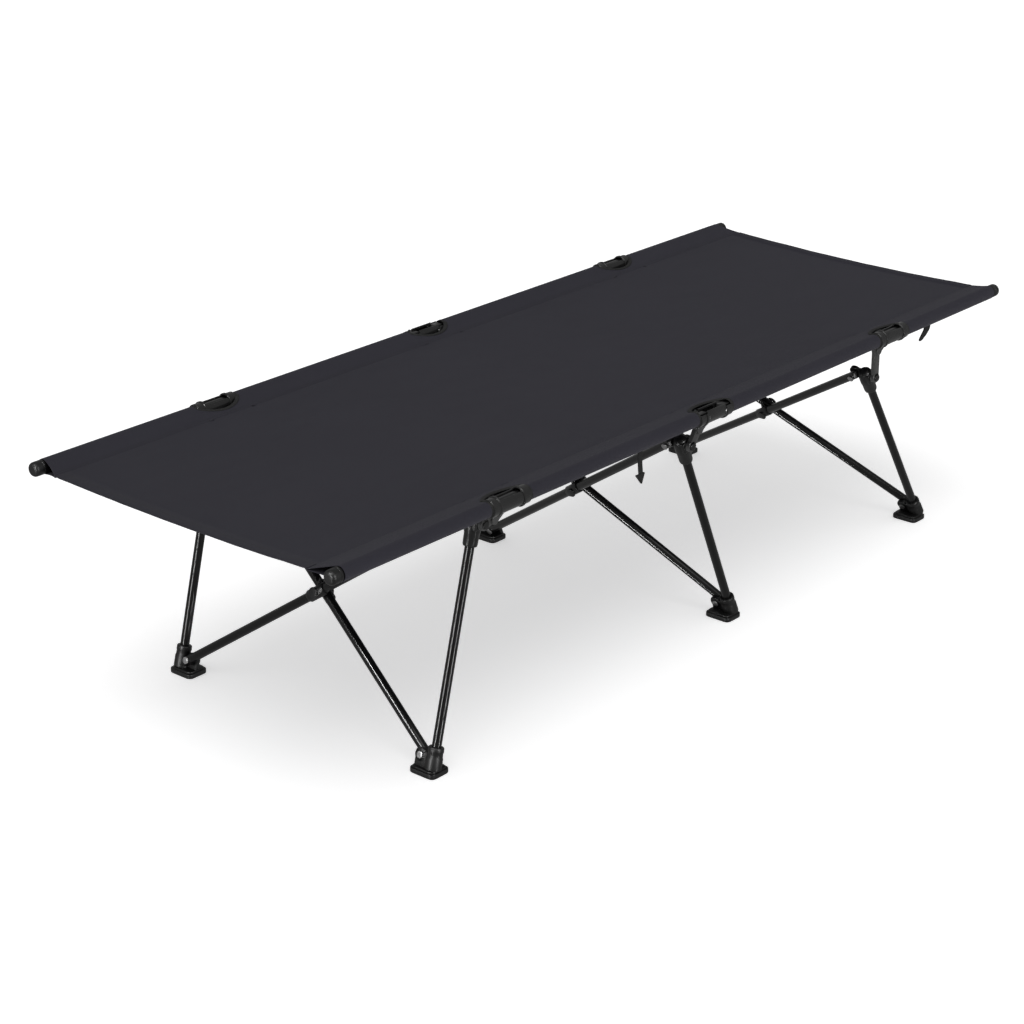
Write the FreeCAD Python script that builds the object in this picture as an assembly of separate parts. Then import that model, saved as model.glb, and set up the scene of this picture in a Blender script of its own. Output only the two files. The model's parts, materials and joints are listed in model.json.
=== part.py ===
"""Folding cot: two side rails that fold up at the middle, a fabric panel, and three scissor leg sets.

Frame: X along the cot (head end at -X), Y across it (near side at -Y), +Z up.
The origin is on the floor under the middle of the cot. Sizes are in millimetres.
A leg set is drawn in its own leaning plane: local X is the plane's normal, local Y is across
the cot and local Z runs up the legs. Local zero is the line through the two shoe pivots.
"""
import FreeCAD, Part
import math
import os

V = FreeCAD.Vector

# ---- Overall sizes ----
LENGTH = 1900.0          # over the rail caps
RAIL_SPAN = 664.0        # between the centre lines of the side rails
RAIL_HEIGHT = 445.0      # centre line of the rails above the floor
RAIL_R = 11.0

# ---- Leg sets ----
HUB_INSIDE = 51.0        # bar pivots, inside the rails
HUB_HALF_SPAN = RAIL_SPAN / 2 - RAIL_R - HUB_INSIDE
REACH_SHORT = 50.0
LEG_REACH = RAIL_HEIGHT - REACH_SHORT    # shoe pivot to hub pivot, up the leaning plane
SHOE_PIVOT_HEIGHT = 28.0
BRACKET_X = {"head": -545.0, "mid": 0.0, "foot": 565.0}
HUB_X = {"head": -580.0, "mid": -32.0, "foot": 552.0}
SHOE_X = {"head": -675.0, "mid": 132.0, "foot": 765.0}

# ---- Tubes, bars and pins ----
TUBE_R = 8.0
TUBE_WALL = 1.4
BAR_APART = 0.5          # each bar's side from the set's middle plane
BAR_LAYER = TUBE_R + BAR_APART
BAR_TAIL = 10.0          # tube past its end pivot
UPRIGHT_CLEAR = 8.0
UPRIGHT_OFFSET = 2 * TUBE_R + UPRIGHT_CLEAR  # upright outside the bar pivot
ROD_CLEAR = 1.1          # slide rod inside its upright
ROD_R = TUBE_R - TUBE_WALL - ROD_CLEAR
ROD_SHORT = 63.0
ROD_LENGTH = LEG_REACH - ROD_SHORT
PIN_R = 3.0
PIN_HEAD_R = 6.0
PIN_HEAD = 2.0
RUN_CLEAR = 0.05         # radial clearance of a running pin
GAP = 0.3                # between pieces that pass each other

# ---- Hubs ----
LUG = 7.7                # lug thickness
LUG_INSIDE = 12.0        # lug past the bar pivot, towards the middle
LUG_HALF = 12.0
HUB_INNER = 14.5         # hub block, from the bar pivot outwards
HUB_OUTER = 39.0
HUB_HALF = 13.0
HUB_BELOW = 16.0
HUB_ABOVE = 12.0
TRUNNION_R = 5.0
TRUNNION_CAP_R = 7.0
TRUNNION_CAP = 2.0
EDGE = 3.0               # rounding of moulded blocks

# ---- Shoes ----
SHOE_INNER = 15.0
SHOE_OUTER = 39.0
SHOE_HALF = 22.0
SHOE_PLATE = 8.0
SHOE_CORNER = 9.0
COLLAR_WALL = 4.5
COLLAR_R = TUBE_R + COLLAR_WALL
COLLAR_TOP = 20.0
COLLAR_FOOT = -34.0      # below the floor, where the sole cuts it
UPRIGHT_FOOT = -10.0     # lower end of the upright, up the plane
UPRIGHT_TOP_GAP = 1.0    # upright below the hub block

# ---- Rails ----
RAIL_WALL = 1.5
CAP_WALL = 1.5
CAP_R = RAIL_R + CAP_WALL
CAP_LENGTH = 22.0
CAP_DOME = 4.0
HINGE_X = 26.0           # hinge pins of the rail halves, from the middle
HINGE_PIN_R = 4.0
TONGUE_HALF = 7.0
TONGUE_STEP = 2.0        # tongue's end below the rail's surface
TONGUE_END_R = RAIL_R - TONGUE_STEP
RAIL_START = 50.0        # tube starts outside the middle channel

# ---- Rail brackets ----
BRACKET_WALL = 4.0
BRACKET_R = RAIL_R + BRACKET_WALL
BRACKET_HALF = 34.0      # channel body
RING_LIP = 2.0
RING_R = BRACKET_R + RING_LIP
RING = 5.0
COLLAR = 7.0             # plain collar outside each ring
BORE_CLEAR = 0.1         # rail in its bracket, cap or sleeve
SLOT_HALF = 6.0
CHANNEL_SIDE = 0.5       # rail beside the middle channel's wall
CHANNEL_HALF = RAIL_R + CHANNEL_SIDE
CHANNEL_LIP = 1.0        # middle channel's walls, above the rail
CHANNEL_END = 46.0
EAR = 9.0                # ear thickness
EAR_ROOT = 5.0           # ear's plate, further out under the bracket it grows from
EAR_TIP_R = 9.0
EAR_TOP_BELOW = 8.0
EAR_HALF = 30.0
EAR_DROP = 30.0          # lower corner of the ear, below the rail's centre line
EAR_BACK = 14.0          # and towards the head end
ARM_R = 7.5              # arm from the ear's lower corner down to the hub's trunnion

# ---- Fabric ----
SLEEVE = 2.0
SLEEVE_R = RAIL_R + SLEEVE
SLEEVE_FROM_END = 24.0
SLEEVE_CLEAR = 50.0      # sleeve ends this far from a bracket's middle
PANEL = 2.0
PANEL_CLEAR = 0.05       # panel's edge from the sleeve's side
CUT_R = 62.0
CUT_OUTSIDE = 24.0       # centre of the cut-out's arc outside the rail
STRAP_WIDTH = 20.0
STRAP = 1.6
STRAP_X = {"head": -200.0, "foot": 700.0}
STRAP_DROP = {"head": 46.0, "foot": 18.0}
STRAP_HOOK = {"head": 16.0, "foot": 8.0}

RAIL_Y = RAIL_SPAN / 2
SIDES = {"near": -1, "far": 1}
STATIONS = ("head", "mid", "foot")
BRACKET_END = BRACKET_HALF + RING + COLLAR


def save(name, solids):
    """Write one node; several solids make a group."""
    shapes = solids if isinstance(solids, list) else [solids]
    shape = shapes[0] if len(shapes) == 1 else Part.makeCompound(shapes)
    shape.exportStep("parts/" + name + ".step")


def box(x0, x1, y0, y1, z0, z1):
    """A box between two corners given in any order."""
    low = V(min(x0, x1), min(y0, y1), min(z0, z1))
    return Part.makeBox(abs(x1 - x0), abs(y1 - y0), abs(z1 - z0), low)


def rod_between(start, end, radius):
    """A solid cylinder from one point to another."""
    return Part.makeCylinder(radius, (end - start).Length, start, end - start)


def tube_between(start, end, radius, wall):
    """A round tube from one point to another."""
    return rod_between(start, end, radius).cut(rod_between(start, end, radius - wall))


def lean(station):
    """Angle of a leg set's plane from upright, feet towards +X."""
    return math.asin((SHOE_X[station] - HUB_X[station]) / LEG_REACH)


def place(shape, station):
    """Move a shape from a leg set's own plane to the cot's frame."""
    turn = FreeCAD.Rotation(V(0, 1, 0), -math.degrees(lean(station)))
    moved = shape.copy()
    moved.Placement = FreeCAD.Placement(V(SHOE_X[station], 0, SHOE_PIVOT_HEIGHT), turn)
    return moved


def hub_height(station):
    """Height of a hub's pivot above the floor."""
    return SHOE_PIVOT_HEIGHT + LEG_REACH * math.cos(lean(station))


def bar_ends(layer):
    """Lower and upper pivot of the bar in one layer, +1 from near shoe or -1 from far shoe."""
    low = V(layer * BAR_LAYER, -layer * HUB_HALF_SPAN, 0)
    high = V(layer * BAR_LAYER, layer * HUB_HALF_SPAN, LEG_REACH)
    return low, high


def cross_pin(point, layer, reach_out, reach_in, radius):
    """A cylinder along the set's normal, from outside a bar to past what it is pinned to."""
    start = V(layer * reach_out, point.y, point.z)
    end = V(-layer * reach_in, point.y, point.z)
    return rod_between(start, end, radius)


def make_bar(layer):
    """A long tube of the scissor, drilled at both ends and at its middle."""
    low, high = bar_ends(layer)
    along = (high - low).normalize() * BAR_TAIL
    bar = tube_between(low - along, high + along, TUBE_R, TUBE_WALL)
    middle_clear = 0 if layer > 0 else RUN_CLEAR
    reach = BAR_LAYER + 2 * TUBE_R
    for point, clear in ((low, 0), (high, 0), ((low + high) / 2, middle_clear)):
        bar = bar.cut(cross_pin(point, layer, reach, 0, PIN_R + clear))
    return bar


def make_pins(layer):
    """Rivets of one bar: at its shoe, at its hub and, on the first bar, where the bars cross."""
    low, high = bar_ends(layer)
    outside = BAR_LAYER + TUBE_R
    inside = GAP + LUG + GAP
    pins = []
    for point in (low, high):
        pins.append(make_rivet(point, layer, outside, inside))
    if layer > 0:
        pins.append(make_rivet((low + high) / 2, layer, outside, outside))
    return pins


def make_rivet(point, layer, outside, inside):
    """A rivet with a head at each end."""
    shank = cross_pin(point, layer, outside, inside, PIN_R)
    head = cross_pin(point, layer, outside + PIN_HEAD, -outside, PIN_HEAD_R)
    tail = cross_pin(point, layer, -inside, inside + PIN_HEAD, PIN_HEAD_R)
    return shank.fuse([head, tail]).removeSplitter()


def lug_block(side, layer, outer, low, high):
    """Flat lug beside a bar's end, from past its pivot to the body it grows from."""
    inner_y = side * (HUB_HALF_SPAN - LUG_INSIDE)
    return box(-layer * GAP, -layer * (GAP + LUG), inner_y, side * outer, low, high)


def make_hub(side):
    """Hub under the rail: block on the slide rod, lug for a bar, trunnion in the bracket's ear."""
    y_in = side * (HUB_HALF_SPAN + HUB_INNER)
    y_out = side * (HUB_HALF_SPAN + HUB_OUTER)
    block = box(-HUB_HALF, HUB_HALF, y_in, y_out, LEG_REACH - HUB_BELOW, LEG_REACH + HUB_ABOVE)
    block = block.makeFillet(EDGE, block.Edges)
    lug_outer = HUB_HALF_SPAN + HUB_INNER + EDGE
    lug = lug_block(side, side, lug_outer, LEG_REACH - LUG_HALF, LEG_REACH + LUG_HALF - EDGE)
    base = V(0, y_out - side * EDGE, LEG_REACH)
    seat = V(0, side * (HUB_HALF_SPAN + HUB_OUTER + EAR + 2 * GAP), LEG_REACH)
    tip = seat + V(0, side * TRUNNION_CAP, 0)
    trunnion = rod_between(base, seat, TRUNNION_R).fuse(rod_between(seat, tip, TRUNNION_CAP_R))
    hub = block.fuse([lug, trunnion])
    pivot = V(0, side * HUB_HALF_SPAN, LEG_REACH)
    return hub.cut(cross_pin(pivot, side, BAR_LAYER, 2 * BAR_LAYER, PIN_R + RUN_CLEAR))


def upright_line(side, u):
    """Point on an upright's centre line."""
    return V(0, side * (HUB_HALF_SPAN + UPRIGHT_OFFSET), u)


def make_upright(side):
    """Upright tube, held in the shoe."""
    top = LEG_REACH - HUB_BELOW - UPRIGHT_TOP_GAP
    return tube_between(upright_line(side, UPRIGHT_FOOT), upright_line(side, top), TUBE_R, TUBE_WALL)


def make_slide_rod(side):
    """Rod that hangs from the hub inside the upright and draws out as the cot narrows."""
    top = LEG_REACH - HUB_BELOW
    return rod_between(upright_line(side, top), upright_line(side, top - ROD_LENGTH), ROD_R)


def make_shoe(side, station):
    """Moulded shoe: a level sole, a collar around the upright and a lug for a bar."""
    collar = rod_between(upright_line(side, COLLAR_FOOT), upright_line(side, COLLAR_TOP), COLLAR_R)
    outer = HUB_HALF_SPAN + UPRIGHT_OFFSET
    lug = lug_block(side, -side, outer, COLLAR_FOOT, LUG_HALF)
    upper = place(collar.fuse(lug), station)
    x = SHOE_X[station]
    y_in = side * (HUB_HALF_SPAN - SHOE_INNER)
    y_out = side * (HUB_HALF_SPAN + SHOE_OUTER)
    above = box(x - 2 * SHOE_HALF, x + 2 * SHOE_HALF, y_in, y_out, 0, 2 * SHOE_PIVOT_HEIGHT + COLLAR_TOP)
    sole = box(x - SHOE_HALF, x + SHOE_HALF, y_in, y_out, 0, SHOE_PLATE)
    uprights = [edge for edge in sole.Edges if abs(edge.BoundBox.ZLength - SHOE_PLATE) < GAP]
    sole = sole.makeFillet(SHOE_CORNER, uprights)
    shoe = upper.common(above).fuse(sole)
    top = upright_line(side, 2 * COLLAR_TOP)
    socket = place(rod_between(upright_line(side, UPRIGHT_FOOT), top, TUBE_R), station)
    pivot = V(0, side * HUB_HALF_SPAN, 0)
    hole = place(cross_pin(pivot, -side, BAR_LAYER, 2 * BAR_LAYER, PIN_R + RUN_CLEAR), station)
    return shoe.cut(socket).cut(hole)


def make_ear(side, station):
    """Ear of a bracket: a tapered plate rooted under it, and an arm down to the hub's trunnion."""
    y_in = side * (HUB_HALF_SPAN + HUB_OUTER + GAP)
    middle = BRACKET_X[station]
    corner = V(middle - EAR_BACK, y_in, RAIL_HEIGHT - EAR_DROP)
    top = RAIL_HEIGHT - EAR_TOP_BELOW
    start = V(middle - EAR_HALF, y_in, top)
    end = V(middle + EAR_HALF, y_in, top)
    low = corner + V(0, 0, -EAR_TIP_R)
    left = corner + V(-EAR_TIP_R, 0, 0)
    right = corner + V(EAR_TIP_R / math.sqrt(2), 0, -EAR_TIP_R / math.sqrt(2))
    edges = [
        Part.Arc(left, low, right).toShape(),
        Part.makeLine(right, end),
        Part.makeLine(end, start),
        Part.makeLine(start, left),
    ]
    across = V(0, side * EAR, 0)
    plate = Part.Face(Part.Wire(edges)).extrude(V(0, side * (EAR + EAR_ROOT), 0))
    tip = V(HUB_X[station], y_in, hub_height(station))
    sideways = (tip - corner).cross(across).normalize() * ARM_R
    outline = [corner + sideways, tip + sideways, tip - sideways, corner - sideways, corner + sideways]
    arm = Part.Face(Part.makePolygon(outline)).extrude(across)
    eye = rod_between(tip, tip + across, EAR_TIP_R)
    ear = plate.fuse([arm, eye]).removeSplitter()
    return ear.cut(rod_between(tip, tip + across, TRUNNION_R + RUN_CLEAR))


def make_side_bracket(side, station):
    """Bracket clamped around a rail, with a slot along its top."""
    x = BRACKET_X[station]
    y = side * RAIL_Y
    body = rod_between(V(x - BRACKET_END, y, RAIL_HEIGHT), V(x + BRACKET_END, y, RAIL_HEIGHT), BRACKET_R)
    for end in (-1, 1):
        inner = x + end * BRACKET_HALF
        body = body.fuse(ring_at(inner, inner + end * RING, y))
    body = body.fuse(make_ear(side, station))
    bore_start = V(x - 2 * BRACKET_END, y, RAIL_HEIGHT)
    bore_end = V(x + 2 * BRACKET_END, y, RAIL_HEIGHT)
    body = body.cut(rod_between(bore_start, bore_end, RAIL_R + BORE_CLEAR))
    slot = box(x - BRACKET_HALF, x + BRACKET_HALF, y - SLOT_HALF, y + SLOT_HALF,
               RAIL_HEIGHT, RAIL_HEIGHT + 2 * BRACKET_R)
    return body.cut(slot)


def ring_at(x0, x1, y):
    """A ring's disc on the rail's line."""
    return rod_between(V(x0, y, RAIL_HEIGHT), V(x1, y, RAIL_HEIGHT), RING_R)


def make_mid_bracket(side):
    """Middle bracket: an open channel that holds the hinge pins of both rail halves."""
    y = side * RAIL_Y
    body = rod_between(V(-CHANNEL_END, y, RAIL_HEIGHT), V(CHANNEL_END, y, RAIL_HEIGHT), BRACKET_R)
    for end in (-1, 1):
        inner = end * BRACKET_HALF
        body = body.fuse(ring_at(inner, inner + end * RING, y))
    body = body.fuse(make_ear(side, "mid"))
    channel = box(-2 * CHANNEL_END, 2 * CHANNEL_END, y - CHANNEL_HALF, y + CHANNEL_HALF,
                  RAIL_HEIGHT - RAIL_R, RAIL_HEIGHT + 2 * RING_R)
    top = box(-2 * CHANNEL_END, 2 * CHANNEL_END, y - 2 * RING_R, y + 2 * RING_R,
              RAIL_HEIGHT + RAIL_R + CHANNEL_LIP, RAIL_HEIGHT + 2 * RING_R)
    body = body.cut(channel).cut(top)
    for end in (-1, 1):
        start = V(end * HINGE_X, y - 2 * RING_R, RAIL_HEIGHT)
        finish = V(end * HINGE_X, y + 2 * RING_R, RAIL_HEIGHT)
        body = body.cut(rod_between(start, finish, HINGE_PIN_R))
    return body


def make_hinge_pins(side):
    """The two hinge pins across the middle channel."""
    y = side * RAIL_Y
    pins = []
    for end in (-1, 1):
        start = V(end * HINGE_X, y - BRACKET_R, RAIL_HEIGHT)
        finish = V(end * HINGE_X, y + BRACKET_R, RAIL_HEIGHT)
        pins.append(rod_between(start, finish, HINGE_PIN_R))
    return pins


def make_rail(side, end):
    """Half a side rail: a tube with a solid tongue that turns on the hinge pin."""
    y = side * RAIL_Y
    outer = end * (LENGTH / 2 - CAP_LENGTH / 2)
    start = V(end * RAIL_START, y, RAIL_HEIGHT)
    tube = tube_between(start, V(outer, y, RAIL_HEIGHT), RAIL_R, RAIL_WALL)
    plug_end = V(end * (RAIL_START + 2 * RAIL_R), y, RAIL_HEIGHT)
    plug = rod_between(start, plug_end, RAIL_R)
    tongue = box(end * HINGE_X, end * (RAIL_START + RAIL_WALL), y - TONGUE_HALF, y + TONGUE_HALF,
                 RAIL_HEIGHT - TONGUE_END_R, RAIL_HEIGHT + TONGUE_END_R)
    tip_start = V(end * HINGE_X, y - TONGUE_HALF, RAIL_HEIGHT)
    tip_end = V(end * HINGE_X, y + TONGUE_HALF, RAIL_HEIGHT)
    tongue = tongue.fuse(rod_between(tip_start, tip_end, TONGUE_END_R))
    rail = tube.fuse([plug, tongue]).removeSplitter()
    return rail.cut(rod_between(tip_start, tip_end, HINGE_PIN_R + RUN_CLEAR))


def make_cap(side, end):
    """Cap on a rail's outer end."""
    y = side * RAIL_Y
    inner = V(end * (LENGTH / 2 - CAP_LENGTH), y, RAIL_HEIGHT)
    outer = V(end * LENGTH / 2, y, RAIL_HEIGHT)
    cap = rod_between(inner, outer, CAP_R)
    face = [edge for edge in cap.Edges if abs(edge.BoundBox.XMin - outer.x) < GAP and
            abs(edge.BoundBox.XMax - outer.x) < GAP]
    cap = cap.makeFillet(CAP_DOME, face)
    seat = V(end * (LENGTH / 2 - CAP_LENGTH / 2), y, RAIL_HEIGHT)
    return cap.cut(rod_between(inner, seat, RAIL_R + BORE_CLEAR))


def station_of(end):
    """Outer leg set on one half of the cot."""
    return "head" if end < 0 else "foot"


def make_sleeve(side, end):
    """Fabric sleeve around a rail half, left open at the brackets."""
    y = side * RAIL_Y
    bracket = end * BRACKET_X[station_of(end)]
    outer = LENGTH / 2 - SLEEVE_FROM_END
    runs = ((SLEEVE_CLEAR, bracket - SLEEVE_CLEAR), (bracket + SLEEVE_CLEAR, outer))
    solids = []
    for low, high in runs:
        start = V(end * low, y, RAIL_HEIGHT)
        finish = V(end * high, y, RAIL_HEIGHT)
        solids.append(tube_between(start, finish, SLEEVE_R, SLEEVE_R - RAIL_R - BORE_CLEAR))
    return solids


def make_panel(end):
    """Half of the fabric panel, its top level with the rails' centres, with a cut-out at each bracket."""
    half = RAIL_Y - SLEEVE_R - PANEL_CLEAR
    outer = end * (LENGTH / 2 - SLEEVE_FROM_END)
    panel = box(end * GAP, outer, -half, half, RAIL_HEIGHT - PANEL, RAIL_HEIGHT)
    for side in SIDES.values():
        for station in (station_of(end), "mid"):
            centre = V(BRACKET_X[station], side * (RAIL_Y + CUT_OUTSIDE), RAIL_HEIGHT - 2 * PANEL)
            panel = panel.cut(Part.makeCylinder(CUT_R, 4 * PANEL, centre))
    return panel


def make_strap(end):
    """Strap that hangs from the near sleeve, with a thicker tab on its end."""
    station = station_of(end)
    x = STRAP_X[station]
    top = RAIL_HEIGHT - SLEEVE_R
    low = top - STRAP_DROP[station]
    strap = box(x - STRAP_WIDTH / 2, x + STRAP_WIDTH / 2, -RAIL_Y - STRAP / 2, -RAIL_Y + STRAP / 2,
                low, top - STRAP / 2)
    hook = box(x - STRAP_WIDTH / 2, x + STRAP_WIDTH / 2, -RAIL_Y - STRAP, -RAIL_Y + STRAP,
               low - STRAP_HOOK[station], low)
    return strap.fuse(hook)


def make_leg_sets():
    """All the pieces of the three leg sets."""
    for station in STATIONS:
        for layer, letter in ((1, "a"), (-1, "b")):
            save(station + "_bar_" + letter, place(make_bar(layer), station))
            save(station + "_bar_" + letter + "_pins", [place(pin, station) for pin in make_pins(layer)])
        for name, side in SIDES.items():
            prefix = station + "_" + name
            save(prefix + "_hub", place(make_hub(side), station))
            save(prefix + "_slide_rod", place(make_slide_rod(side), station))
            save(prefix + "_upright", place(make_upright(side), station))
            save(prefix + "_shoe", make_shoe(side, station))


def make_top():
    """The rails with their brackets, caps and fabric."""
    for name, side in SIDES.items():
        save(name + "_mid_bracket", make_mid_bracket(side))
        save(name + "_mid_hinge_pins", make_hinge_pins(side))
        for end in (-1, 1):
            prefix = name + "_" + station_of(end)
            save(prefix + "_rail", make_rail(side, end))
            save(prefix + "_rail_cap", make_cap(side, end))
            save(prefix + "_sleeve", make_sleeve(side, end))
            save(prefix + "_bracket", make_side_bracket(side, station_of(end)))
    for end in (-1, 1):
        save(station_of(end) + "_panel", make_panel(end))
        save(station_of(end) + "_strap", make_strap(end))


os.makedirs("parts", exist_ok=True)
make_leg_sets()
make_top()
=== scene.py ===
"""Folding cot: the cloth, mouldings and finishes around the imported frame.

All sizes are in metres in the frame's own axes: X along the cot, Y across it, Z up.
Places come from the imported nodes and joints.
"""

import json
import math

import bmesh
import bpy
from mathutils import Matrix, Vector, noise


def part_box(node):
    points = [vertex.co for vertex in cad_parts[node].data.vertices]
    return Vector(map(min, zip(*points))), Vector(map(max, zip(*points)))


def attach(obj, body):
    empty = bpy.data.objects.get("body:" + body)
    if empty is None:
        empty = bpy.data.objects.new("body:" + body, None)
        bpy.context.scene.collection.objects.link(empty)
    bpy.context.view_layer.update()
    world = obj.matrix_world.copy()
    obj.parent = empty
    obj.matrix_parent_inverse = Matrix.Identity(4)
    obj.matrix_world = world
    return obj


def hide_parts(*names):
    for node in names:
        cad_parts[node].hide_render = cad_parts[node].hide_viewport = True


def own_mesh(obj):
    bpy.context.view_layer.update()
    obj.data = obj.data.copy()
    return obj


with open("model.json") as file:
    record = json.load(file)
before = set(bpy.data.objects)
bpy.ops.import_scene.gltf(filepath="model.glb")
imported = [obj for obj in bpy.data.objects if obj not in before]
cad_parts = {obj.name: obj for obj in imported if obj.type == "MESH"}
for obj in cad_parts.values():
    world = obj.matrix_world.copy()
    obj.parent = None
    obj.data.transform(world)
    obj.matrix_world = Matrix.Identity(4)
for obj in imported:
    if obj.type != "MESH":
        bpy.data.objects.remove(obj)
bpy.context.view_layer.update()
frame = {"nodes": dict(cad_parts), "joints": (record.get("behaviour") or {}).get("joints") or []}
NODES = frame["nodes"]
JOINTS = {joint["name"]: joint for joint in frame["joints"]}
X_AXIS, Y_AXIS, Z_AXIS = Vector((1, 0, 0)), Vector((0, 1, 0)), Vector((0, 0, 1))

# ---- Places read from the frame ----
SIDES = {"near": -1, "far": 1}
ENDS = {"head": -1, "foot": 1}
STATIONS = ("head", "mid", "foot")


def middle_of(node):
    """Centre of a CAD node's box."""
    low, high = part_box(node)
    return (low + high) / 2


RAIL_LOW, RAIL_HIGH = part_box("far_head_rail")
RAIL_Y = middle_of("far_head_rail").y
RAIL_Z = middle_of("far_head_rail").z
RAIL_R = (RAIL_HIGH.z - RAIL_LOW.z) / 2
SLEEVE_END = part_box("far_foot_sleeve")[1].x
PANEL_Z = middle_of("head_panel").z
RING_X = {"head": middle_of("far_head_bracket").x, "mid": 0.0, "foot": middle_of("far_foot_bracket").x}

# ---- Cloth sizes ----
SEAM_IN = 0.050          # seam inside the rail's centre line
SEAM_UP = 0.0006         # seam above the middle of the panel's thickness
SEAM_Y = RAIL_Y - SEAM_IN
SLEEVE_R = 0.0126
SLEEVE_KEPT = 0.92       # share of a sleeve that its cut-outs leave
CUT_R = 0.060            # rounded cut-out at each bracket
CUT_OUT = 0.028          # centre of its arc, outside the rail
CUT_HALF = 0.047
CLOTH = 0.0011           # thickness
HEM = 0.020
HEM_STEP = 0.0012
PANEL_END = 0.944        # hem, from the middle
SAG = 0.006
SETTLE_FRAMES = 26
WOVEN_THREAD = 0.0009    # spacing of the weave
FADE_IN = 0.012          # cloth lies smooth within this of a seam
FADE_RING = 0.010        # and within this of the rail
SLEEVE_PUCKER = 0.0007
PANEL_PUCKER = 0.0006
EDGE_PUCKER = 0.0010     # added beside the seams
EDGE_BAND = 0.06
HEM_RISE = 0.0009
PANEL_GRID = (148, 48)
STITCH = 0.0042          # length of a stitch
THREAD_HALF = 0.0004

# ---- Camera and lights ----
CAMERA_AT = Vector((-3.464, -2.797, 1.984))
CAMERA_YAW = 0.699
CAMERA_PITCH = -0.387
CAMERA_ROLL = -0.008
CAMERA_LENS = 91.85
SENSOR = 36.0
FLOOR_HALF = 30.0
FLOOR_GLOW = 0.53
WORLD_LIGHT = 0.35
SUN_POWER = 1.3
SUN_ANGLE = 50           # degrees across, for soft shadows
SUN_TILT = (12, -22, 0)  # degrees
STRIP_WIDTH = 0.14
STRIP_HEIGHT = 7.2
STRIP_POWER = 330.0
STRIP_PLACES = {"strip": (-3.6, 0.2, 0.2), "side strip": (-0.8, -4.2, 0.2)}
STRIP_AIM = Vector((0, 0, 0.3))


# ============ Shader maths ============

class Sock:
    """A node socket, or a number, that can be written in expressions."""

    def __init__(self, shader, value):
        self.shader = shader
        self.value = value

    def maths(self, operation, *others):
        """The result of a Math node on this value and others."""
        return self.shader.node("ShaderNodeMath", {"operation": operation}, (self, *others))

    def __add__(self, other):
        return self.maths("ADD", other)

    def __sub__(self, other):
        return self.maths("SUBTRACT", other)

    def __rsub__(self, other):
        return Sock(self.shader, other).maths("SUBTRACT", self)

    def __mul__(self, other):
        return self.maths("MULTIPLY", other)

    def wave(self):
        return self.maths("SINE")

    def above(self, edge):
        return self.maths("GREATER_THAN", edge)

    def near(self, centre, reach):
        """1 within a distance of a value, 0 elsewhere."""
        return self.maths("COMPARE", centre, reach)

    def size(self):
        return self.maths("ABSOLUTE")

    __radd__ = __add__
    __rmul__ = __mul__


class Shader:
    """Builds one material around a Principled shader."""

    def __init__(self, name):
        self.material = bpy.data.materials.new(name)
        self.material.use_nodes = True
        self.tree = self.material.node_tree
        self.tree.nodes.clear()
        self.surface = self.tree.nodes.new("ShaderNodeBsdfPrincipled")
        output = self.tree.nodes.new("ShaderNodeOutputMaterial")
        self.tree.links.new(self.surface.outputs[0], output.inputs[0])

    def node(self, kind, settings, inputs, output=0):
        """Add a node: settings first, then the values or links of its sockets, in order or by name."""
        made = self.tree.nodes.new(kind)
        for key, value in settings.items():
            if key == "stops":
                self.set_stops(made, value)
            else:
                setattr(made, key, value)
        pairs = inputs.items() if isinstance(inputs, dict) else enumerate(inputs)
        for key, value in pairs:
            self.put(made.inputs[key], value)
        return Sock(self, made.outputs[output])

    def set_stops(self, ramp, stops):
        """Colours of a ramp, as (place, colour) pairs."""
        elements = ramp.color_ramp.elements
        while len(elements) < len(stops):
            elements.new(1.0)
        for element, (place, colour) in zip(elements, stops):
            element.position = place
            element.color = (*colour, 1.0)

    def put(self, socket, value):
        """Link a socket or set its constant."""
        if isinstance(value, Sock):
            value = value.value
        if isinstance(value, bpy.types.NodeSocket):
            self.tree.links.new(value, socket)
        else:
            socket.default_value = value

    def set(self, **values):
        """Set the surface's own sockets by name, with _ for a space."""
        for key, value in values.items():
            self.put(self.surface.inputs[key.replace("_", " ")], value)

    def place(self):
        return self.node("ShaderNodeTexCoord", {}, {}, "Object")

    def uv(self):
        return self.node("ShaderNodeTexCoord", {}, {}, "UV")

    def axes(self, vector):
        """The three parts of a vector."""
        split = self.node("ShaderNodeSeparateXYZ", {}, (vector,))
        outputs = split.value.node.outputs
        return [Sock(self, outputs[axis]) for axis in range(3)]

    def noise(self, vector, scale, detail=3.0, rough=0.5):
        inputs = {"Vector": vector, "Scale": scale, "Detail": detail, "Roughness": rough}
        return self.node("ShaderNodeTexNoise", {}, inputs)

    def ramp(self, factor, *stops):
        return self.node("ShaderNodeValToRGB", {"stops": stops}, (factor,))

    def between(self, factor, low, high):
        """A number that goes from low to high as factor goes from 0 to 1."""
        return factor * (high - low) + low

    def bump(self, height, distance, strength=1.0):
        inputs = {"Height": height, "Distance": distance, "Strength": strength}
        self.set(Normal=self.node("ShaderNodeBump", {}, inputs))


def grey(value, warm=0.0, cool=0.0):
    """A near-neutral colour."""
    return (value + warm, value, value + cool)


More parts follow.
